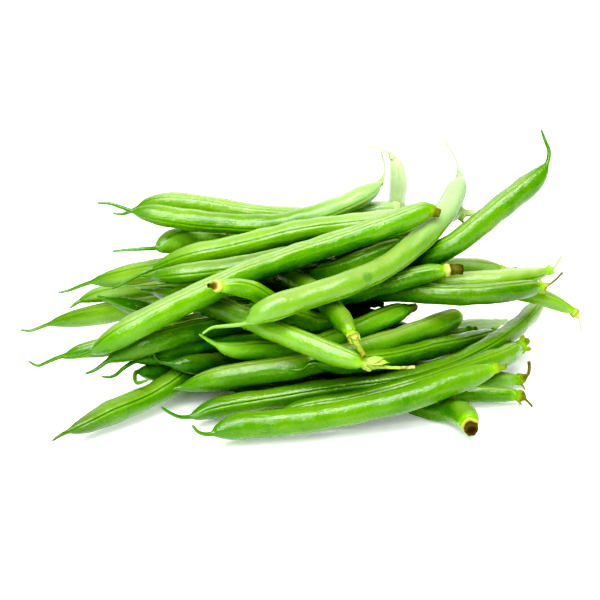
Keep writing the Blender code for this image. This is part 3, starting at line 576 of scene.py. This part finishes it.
def sepal(shell, base, axis, out, length, width, lean_deg, turn_deg, along):
    """A small pointed flap that leans away from the stalk."""
    rows = cols = SEPAL_GRID
    sideways = math.radians(turn_deg)
    across = np.cross(out, axis)
    axis, across = (math.cos(sideways) * axis + math.sin(sideways) * across,
                    math.cos(sideways) * across - math.sin(sideways) * axis)
    lean = math.radians(lean_deg)
    place = np.array(base, dtype=float)
    turn = np.linspace(0, 2 * np.pi, cols, endpoint=False)
    verts = []
    for i in range(rows):
        t = i / (rows - 1)
        bend = lean * (SEPAL_BEND[0] + SEPAL_BEND[1] * t)
        way = math.cos(bend) * axis + math.sin(bend) * out
        up = -math.sin(bend) * axis + math.cos(bend) * out
        spread = SEPAL_WIDTH[0] + SEPAL_WIDTH[1] * t + SEPAL_WIDTH[2] * t * t
        half = 0.5 * width * spread * (1.0 - t ** 3.0) + SEPAL_EDGE
        thick = SEPAL_THICK[0] * (1.0 - SEPAL_THICK[1] * t) + SEPAL_THICK[2]
        dip = SEPAL_DIP * half * np.cos(turn) ** 2
        for angle, low in zip(turn, dip):
            verts.append(place + half * math.cos(angle) * across
                         + (thick * math.sin(angle) + low) * up)
        place = place + way * (length / (rows - 1))
    verts.append(np.array(base) - SEPAL_ROOT * axis)
    verts.append(place)
    verts = np.array(verts)
    verts[:, 2] = np.maximum(verts[:, 2], FLOOR_GAP)
    root, first, last, tip = SEPAL_ZONES
    zone = np.concatenate([np.repeat(np.linspace(first, last, rows), cols), [root, tip]])
    shell.add(verts, tube_faces(rows, cols), zone=zone, suture=NO_SUTURE, dorsal=NO_SUTURE,
              along=along)


def fine_bean(node, seed, look):
    """Fine mesh of one bean, with suture, seeds, calyx and stalk."""
    centres, direction, size, tail_rings = coarse_shape(node)
    rng = np.random.default_rng(seed)
    knots = np.concatenate([[0.0], np.cumsum(np.linalg.norm(np.diff(centres, axis=0), axis=1))])
    total = knots[-1]
    root = knots[tail_rings]
    beak_end = knots[tail_rings + RINGS_TO_BEAK_END]
    shoulder = knots[tail_rings + RINGS_TO_SHOULDER]
    neck = knots[tail_rings + RINGS_TO_NECK]
    cup = knots[tail_rings + RINGS_TO_CUP]
    size[tail_rings + RINGS_TO_CUP + 1:] *= look["stalk"]
    past_root = root + PAST_ROOT
    near_neck = neck - BEFORE_NECK
    parts = [np.arange(FIRST_RING, past_root, FINE_STEP),
             np.arange(past_root, shoulder, STATION_STEP),
             np.arange(shoulder, near_neck, SHOULDER_STEP),
             np.arange(near_neck, total, END_STEP)]
    where = np.concatenate(parts + [[total - LAST_RING]])
    where = where[np.concatenate([[True], np.diff(where) > LEAST_STEP])]
    line = curve_through(centres, knots, where)
    tang = unit(np.gradient(line, where, axis=0))
    side = curve_through(direction, knots, where)
    side = unit(side - np.sum(side * tang, axis=1)[:, None] * tang)
    flat = np.cross(tang, side)
    radius = size_along(size, knots, where)[:, None]
    s = where[:, None]
    on_pod = rising(s - root - RELIEF_START[0], RELIEF_START[1])
    on_pod = on_pod / (1.0 + np.exp((s - neck + RELIEF_STOP[0]) / RELIEF_STOP[1]))

    arc = np.minimum(THETA, 2 * np.pi - THETA) * radius
    back = np.abs(THETA - np.pi) * radius
    groove = relief(arc, GROOVE) + relief(arc, LIP)
    ridge = relief(back, BACK_RIDGE) + relief(back, BACK_DIP)

    swell = np.zeros_like(s)
    spacing = drawn(rng, *SEED_SPACING)
    place = drawn(rng, beak_end - SEEDS_BEFORE_BEAK, spacing)
    while place < shoulder + SEEDS_PAST_SHOULDER:
        swell += drawn(rng, *SEED_SIZE) * bump(s, place, SEED_LENGTH)
        place += spacing * drawn(rng, *SEED_UNEVEN)
    facing = 0.5 - 0.5 * np.cos(2 * THETA)
    seeds = SEED_SWELL * (swell - SEED_LEVEL) * (SEED_ROUND + (1.0 - SEED_ROUND) * facing ** 1.5)

    waves = np.zeros((len(where), THETA.shape[1]))
    for _ in range(WAVES):
        length = drawn(rng, *WAVE_LENGTH)
        turns = rng.integers(0, WAVE_TURNS)
        shift = rng.random() * 2 * np.pi
        waves += WAVE_HEIGHT * np.cos(2 * np.pi * s / length + turns * THETA + shift)

    width = radius * (1.0 - FLATTER * on_pod * facing) + on_pod * (groove + ridge + seeds + waves)
    turn = rng.random() * 2 * np.pi
    scallop = 0.5 + 0.5 * np.cos(CALYX_LOBES * THETA + turn)
    at_cup = bump(s, 0.5 * (neck + cup) + CALYX_SHIFT, CALYX_SHARE * max(cup - neck, CALYX_LEAST))
    width = width + at_cup * (LOBE_HEIGHT * scallop ** 2 - LOBE_DIP)
    width = width + relief(s - neck, NECK_DIP)
    on_stalk = rising(s - cup, STALK_SOFT)
    ribs, rib_share = STALK_RIBS
    pace, knob_share = STALK_KNOBS
    width = width * (1.0 + rib_share * on_stalk * np.cos(ribs * THETA + 3.0 * rng.random()))
    width = width * (1.0 + knob_share * on_stalk * np.sin(s * pace + 2.0 * np.cos(THETA)))

    around = (np.cos(THETA)[:, :, None] * side[:, None, :]
              + np.sin(THETA)[:, :, None] * flat[:, None, :])
    body = line[:, None, :] + width[:, :, None] * around
    rows, cols = body.shape[:2]

    # cut face: a rim, a sunken ring and a middle
    rim = body[-1]
    middle = line[-1]
    teeth, height = CUT_TEETH
    rough = height * np.cos(teeth * THETA[0] + turn)[:, None] * tang[-1]
    inner = middle + CUT_INNER[0] * (rim - middle) + CUT_INNER[1] * tang[-1] + rough
    core = middle + CUT_CORE[0] * (rim - middle) + CUT_CORE[1] * tang[-1] - rough
    rings = np.vstack([body.reshape(-1, 3), inner, core])
    verts = np.vstack([rings, [line[0] - TAIL_TIP * tang[0]], [middle - CUT_MIDDLE * tang[-1]]])
    verts[:, 2] = np.maximum(verts[:, 2], FLOOR_GAP)

    zone = np.interp(where, [0.0, root, neck - NECK_LENGTH, neck, cup, total], ZONES)
    beak = np.interp(where, [0.0, root, beak_end + BEAK_FADE, neck], [1.0, 1.0, 0.0, 0.0])
    ends = np.ones(2 * cols)
    shell = Shell()
    shell.add(verts, tube_faces(rows + 2, cols),
              zone=np.concatenate([np.repeat(zone, cols), CUT_ZONES[0] * ends[:cols],
                                   CUT_ZONES[1] * ends[:cols], [0.0, CUT_ZONES[2]]]),
              beak=np.concatenate([np.repeat(beak, cols), 0.0 * ends, [1.0, 0.0]]),
              suture=np.concatenate([arc.ravel(), NO_SUTURE * ends, [NO_SUTURE, NO_SUTURE]]),
              dorsal=np.concatenate([back.ravel(), NO_SUTURE * ends, [NO_SUTURE, NO_SUTURE]]),
              along=np.concatenate([np.repeat(where, cols), total * ends, [0.0, total]]),
              around=np.concatenate([(np.sin(THETA) * radius).ravel(), 0.0 * ends, [0.0, 0.0]]))

    near_cup = int(np.argmin(np.abs(where - (neck + SEPAL_AT[0] * (cup - neck)))))
    upward = np.array([0.0, math.sin(math.radians(VIEW_RISE_DEG)),
                       math.cos(math.radians(VIEW_RISE_DEG))])
    axis = tang[near_cup]
    above = unit(upward - np.dot(upward, axis) * axis)
    beside = np.cross(axis, above)
    for angle, length, wide, lean, sideways in look["sepals"]:
        a = math.radians(angle)
        out = math.cos(a) * above + math.sin(a) * beside
        base = line[near_cup] + SEPAL_AT[1] * radius[near_cup, 0] * out
        sepal(shell, base, axis, out, length, wide, lean, sideways, where[near_cup])
    return shell


def linked(tree, socket, value):
    """Link a socket to another, or set its plain value."""
    if isinstance(value, bpy.types.NodeSocket):
        tree.links.new(value, socket)
    else:
        socket.default_value = value


def noise(tree, vector, scale, detail, rough):
    """Noise value on a vector."""
    made = tree.nodes.new("ShaderNodeTexNoise")
    tree.links.new(vector, made.inputs["Vector"])
    made.inputs["Scale"].default_value = scale
    made.inputs["Detail"].default_value = detail
    made.inputs["Roughness"].default_value = rough
    return made.outputs["Fac"]


def ramp(tree, fac, stops):
    """A colour ramp on a value."""
    made = tree.nodes.new("ShaderNodeValToRGB")
    while len(made.color_ramp.elements) < len(stops):
        made.color_ramp.elements.new(0.5)
    for element, (place, colour) in zip(made.color_ramp.elements, stops):
        element.position = place
        element.color = (*colour, 1.0)
    tree.links.new(fac, made.inputs["Fac"])
    return made.outputs["Color"]


def mapped(tree, value, low, high, to_low, to_high, kind="SMOOTHSTEP"):
    """Map a value from one span to another, clamped."""
    made = tree.nodes.new("ShaderNodeMapRange")
    made.clamp = True
    made.interpolation_type = kind
    tree.links.new(value, made.inputs["Value"])
    made.inputs["From Min"].default_value = low
    made.inputs["From Max"].default_value = high
    made.inputs["To Min"].default_value = to_low
    made.inputs["To Max"].default_value = to_high
    return made.outputs["Result"]


def kept(tree, name):
    """A value kept on the mesh."""
    made = tree.nodes.new("ShaderNodeAttribute")
    made.attribute_name = name
    return made.outputs["Fac"]


def math_node(tree, kind, a, b, c=None):
    """A maths node on two or three inputs."""
    made = tree.nodes.new("ShaderNodeMath")
    made.operation = kind
    for socket, value in zip(made.inputs, (a, b, c)):
        if value is not None:
            linked(tree, socket, value)
    return made.outputs["Value"]


def mixed(tree, fac, a, b):
    """Mix two colours with a factor."""
    made = tree.nodes.new("ShaderNodeMix")
    made.data_type = "RGBA"
    colours = [s for s in made.inputs if s.type == "RGBA"]
    linked(tree, [s for s in made.inputs if s.type == "VALUE"][0], fac)
    for socket, value in zip(colours, (a, b)):
        linked(tree, socket, value if isinstance(value, bpy.types.NodeSocket) else (*value, 1.0))
    return [s for s in made.outputs if s.type == "RGBA"][0]


def bumped(tree, height, strength, distance, normal=None):
    """A bump node."""
    made = tree.nodes.new("ShaderNodeBump")
    linked(tree, made.inputs["Height"], height)
    made.inputs["Strength"].default_value = strength
    made.inputs["Distance"].default_value = distance
    if normal is not None:
        tree.links.new(normal, made.inputs["Normal"])
    return made.outputs["Normal"]


def tinted(colour, shade, pale):
    """A colour made brighter and mixed with pale green."""
    level = SKIN_LEVEL * shade
    return tuple((1.0 - pale) * min(c * level, 1.0) + pale * p for c, p in zip(colour, PALE_GREEN))


def skin(name, slot, seed, look):
    """Waxy bean skin with sutures, darker beak, pale neck, calyx and brown stalk."""
    made = bpy.data.materials.new(name)
    made.use_nodes = True
    tree = made.node_tree
    tree.nodes.clear()
    out = tree.nodes.new("ShaderNodeOutputMaterial")
    shader = tree.nodes.new("ShaderNodeBsdfPrincipled")
    tree.links.new(shader.outputs["BSDF"], out.inputs["Surface"])
    place = tree.nodes.new("ShaderNodeTexCoord").outputs["Object"]
    shift = tree.nodes.new("ShaderNodeMapping")
    shift.inputs["Location"].default_value = tuple(step * seed for step in PATTERN_SHIFT)
    tree.links.new(place, shift.inputs["Vector"])
    where = shift.outputs["Vector"]
    lengthwise = tree.nodes.new("ShaderNodeCombineXYZ")
    for way, axis, scale in zip(("along", "around"), "XY", FIBRE_SCALE):
        stretched = math_node(tree, "MULTIPLY", kept(tree, way), scale)
        tree.links.new(stretched, lengthwise.inputs[axis])
    lengthwise.inputs["Z"].default_value = FIBRE_SHIFT * seed

    deep, mid, light = (tinted(c, look["shade"], look["pale"]) for c in SKINS[slot])
    slow = noise(tree, where, *SLOW)
    fine = noise(tree, where, *FINE)
    grain = noise(tree, where, *GRAIN)
    pucker = noise(tree, where, *PUCKER)
    fibre = noise(tree, lengthwise.outputs["Vector"], *FIBRE)
    base = ramp(tree, slow, list(zip(SKIN_STOPS, (deep, mid, light))))
    base = mixed(tree, mapped(tree, fibre, *FIBRE_LIGHT), base, light)
    base = mixed(tree, mapped(tree, fine, *FINE_LIGHT), base, light)
    base = mixed(tree, mapped(tree, grain, *GRAIN_LIGHT), base, GRAIN_PALE)
    base = mixed(tree, mapped(tree, grain, *GRAIN_DARK), base, deep)

    # paler band beside the suture, dark line in its groove
    suture = kept(tree, "suture")
    base = mixed(tree, mapped(tree, suture, *SUTURE_BAND), base, SUTURE_PALE)
    base = mixed(tree, mapped(tree, suture, *SUTURE_LINE, 0.0, look["line"]), base, SUTURE_DARK)
    base = mixed(tree, mapped(tree, kept(tree, "dorsal"), *DORSAL_BAND), base, SUTURE_PALE)

    # painted sheen: upper sides turn paler, in place of the highlight of the light above
    facing = tree.nodes.new("ShaderNodeSeparateXYZ")
    tree.links.new(tree.nodes.new("ShaderNodeNewGeometry").outputs["Normal"],
                   facing.inputs["Vector"])
    upper = mapped(tree, facing.outputs["Z"], *SHEEN_FACING_UP, 0.0, look["bloom"])
    base = mixed(tree, upper, base, PAINTED_SHEEN_COLOUR)

    # beak and tail
    base = mixed(tree, mapped(tree, kept(tree, "beak"), *BEAK_TINT), base, look["tail"])

    # neck, calyx and stalk
    zone = kept(tree, "zone")
    uneven = math_node(tree, "MULTIPLY_ADD", pucker, END_BORDER, zone)
    tip = ramp(tree, mapped(tree, uneven, *END_SPAN), ENDS[look["end"]])
    flecks = noise(tree, where, *FLECKS)
    tip = mixed(tree, mapped(tree, flecks, *FLECK_SPAN, 0.0, look["wear"]), tip, WORN)
    base = mixed(tree, mapped(tree, zone, *END_START), base, tip)

    # painted light: stretches turning paler or brighter; painted shade: stretches deep in the heap
    parts = tree.nodes.new("ShaderNodeSeparateXYZ")
    tree.links.new(place, parts.inputs["Vector"])
    for kind, colour in (("haze", look["mist"]), ("dim", SHADED)):
        if look[kind]:
            axis, low, high, amount = look[kind]
            share = mapped(tree, parts.outputs[axis], low * MM, high * MM, 0.0, amount)
            base = mixed(tree, share, base, colour)
    if look["shadow"]:
        low, high, amount = look["shadow"]
        share = mapped(tree, kept(tree, "along"), low, high, amount, 0.0)
        base = mixed(tree, share, base, SHADED)
    if look["spot"]:
        centre, reach, amount = look["spot"]
        far = tree.nodes.new("ShaderNodeVectorMath")
        far.operation = "DISTANCE"
        tree.links.new(place, far.inputs[0])
        far.inputs[1].default_value = tuple(MM * c for c in centre)
        share = mapped(tree, far.outputs["Value"], SPOT_CORE * MM * reach, MM * reach, amount, 0.0)
        base = mixed(tree, share, base, deep)
    tree.links.new(base, shader.inputs["Base Color"])

    wet = mapped(tree, noise(tree, where, *WET_PATCHES), *WETNESS)
    rough = math_node(tree, "ADD", wet, mapped(tree, zone, *DRY_END))
    rough = math_node(tree, "MULTIPLY_ADD", grain, GRAIN_ROUGH, rough)
    tree.links.new(rough, shader.inputs["Roughness"])
    specular = [level * look["gloss"] for level in SPECULAR]
    tree.links.new(mapped(tree, zone, *SHINE_SPAN, *specular), shader.inputs["Specular IOR Level"])
    shader.inputs["IOR"].default_value = SKIN_IOR
    shader.inputs["Subsurface Weight"].default_value = INNER_GLOW
    shader.inputs["Subsurface Radius"].default_value = INNER_RADIUS
    shader.inputs["Subsurface Scale"].default_value = INNER_SCALE
    coat = mapped(tree, zone, *SHINE_SPAN, COAT * look["gloss"], 0.0)
    tree.links.new(coat, shader.inputs["Coat Weight"])
    shader.inputs["Coat Roughness"].default_value = COAT_ROUGH
    normal = None
    for height, relief_row in ((fibre, FIBRE_BUMP), (pucker, PUCKER_BUMP), (fine, FINE_BUMP),
                               (grain, GRAIN_BUMP)):
        normal = bumped(tree, height, *relief_row, normal)
    tree.links.new(normal, shader.inputs["Normal"])
    tree.links.new(normal, shader.inputs["Coat Normal"])
    return made


def dress(node, seed, slot):
    """Replace one coarse bean with its fine mesh."""
    look = dict(PLAIN)
    if "inside" in node.name:
        look.update(INSIDE)
    look.update(LOOKS.get(node.name.replace("bean_", ""), {}))
    shell = fine_bean(node, seed, look)
    mesh = bpy.data.meshes.new(node.name + "_fine")
    mesh.from_pydata([tuple(v) for v in np.vstack(shell.verts) * MM], [], shell.faces)
    mesh.update()
    mesh.polygons.foreach_set("use_smooth", [True] * len(mesh.polygons))
    for name, rows in shell.values.items():
        layer = mesh.attributes.new(name, "FLOAT", "POINT")
        layer.data.foreach_set("value", np.concatenate(rows).astype(np.float32))
    mesh.materials.append(skin(node.name + "_skin", slot, seed, look))
    piece = bpy.data.objects.new(node.name + "_skin", mesh)
    bpy.context.scene.collection.objects.link(piece)
    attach(piece, "root")
    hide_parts(node.name)


def dress_all():
    """Replace every bean."""
    slots = {row["node"]: row["material_slot"] for row in frame["record"]["subparts"]}
    for count, name in enumerate(sorted(frame["nodes"])):
        dress(frame["nodes"][name], count + 1, slots[name])


def add_floor():
    """Pale floor with a faint glow around the heap."""
    bpy.ops.mesh.primitive_plane_add(size=FLOOR_SIZE, location=(0, 0, 0))
    floor = bpy.context.object
    floor.name = "floor"
    made = bpy.data.materials.new("floor_white")
    made.use_nodes = True
    shader = made.node_tree.nodes["Principled BSDF"]
    shader.inputs["Base Color"].default_value = (*FLOOR_COLOUR, 1.0)
    shader.inputs["Roughness"].default_value = FLOOR_ROUGH
    shader.inputs["Specular IOR Level"].default_value = FLOOR_SPECULAR
    shader.inputs["Emission Color"].default_value = (*WHITE, 1.0)
    tree = made.node_tree
    under = tree.nodes.new("ShaderNodeMapping")
    under.vector_type = "TEXTURE"
    under.inputs["Location"].default_value = GLOW_CENTRE
    under.inputs["Rotation"].default_value = (0.0, 0.0, math.radians(GLOW_TURN_DEG))
    under.inputs["Scale"].default_value = GLOW_REACH
    tree.links.new(tree.nodes.new("ShaderNodeTexCoord").outputs["Object"], under.inputs["Vector"])
    far = tree.nodes.new("ShaderNodeVectorMath")
    far.operation = "LENGTH"
    tree.links.new(under.outputs["Vector"], far.inputs[0])
    glow = mapped(tree, far.outputs["Value"], *GLOW_EDGE, 0.0, GLOW)
    tree.links.new(glow, shader.inputs["Emission Strength"])
    floor.data.materials.append(made)


def area_light(name, place, target, size, power):
    """A soft rectangular light aimed at a point."""
    data = bpy.data.lights.new(name, "AREA")
    data.shape = "RECTANGLE"
    data.size = size[0]
    data.size_y = size[1]
    data.energy = power
    lamp = bpy.data.objects.new(name, data)
    lamp.location = place
    lamp.rotation_mode = "QUATERNION"
    lamp.rotation_quaternion = (Vector(target) - Vector(place)).to_track_quat("-Z", "Y")
    bpy.context.scene.collection.objects.link(lamp)


def add_lights():
    """Softboxes above, behind and in front, an even surround and the tone curves."""
    for row in SOFTBOXES:
        area_light(*row)
    world = bpy.data.worlds.new("studio")
    world.use_nodes = True
    background = world.node_tree.nodes["Background"]
    background.inputs["Color"].default_value = (*WHITE, 1.0)
    background.inputs["Strength"].default_value = SURROUND
    scene = bpy.context.scene
    scene.world = world
    scene.view_settings.view_transform = "Standard"
    scene.view_settings.look = "None"
    scene.view_settings.use_curve_mapping = True
    tones = scene.view_settings.curve_mapping
    for curve, points in ((tones.curves[3], TOE), (tones.curves[2], BLUE_TOE)):
        for level, shown in points:
            curve.points.new(level, shown)
    tones.update()


def add_camera():
    """Camera at the photograph's viewing angle."""
    rise = math.radians(VIEW_RISE_DEG)
    back = Vector((0.0, -math.cos(rise), math.sin(rise)))
    data = bpy.data.cameras.new("camera")
    data.sensor_width = SENSOR
    data.lens = SENSOR / 2 * VIEW_DISTANCE / (PICTURE_SIZE / 2 * MM_PER_PIXEL)
    data.clip_start, data.clip_end = CLIP
    camera = bpy.data.objects.new("camera", data)
    camera.location = (Vector(LOOK_AT) + back * VIEW_DISTANCE) * MM
    camera.rotation_mode = "QUATERNION"
    camera.rotation_quaternion = (-back).to_track_quat("-Z", "Y")
    bpy.context.scene.collection.objects.link(camera)
    bpy.context.scene.camera = camera


dress_all()
add_floor()
add_lights()
add_camera()
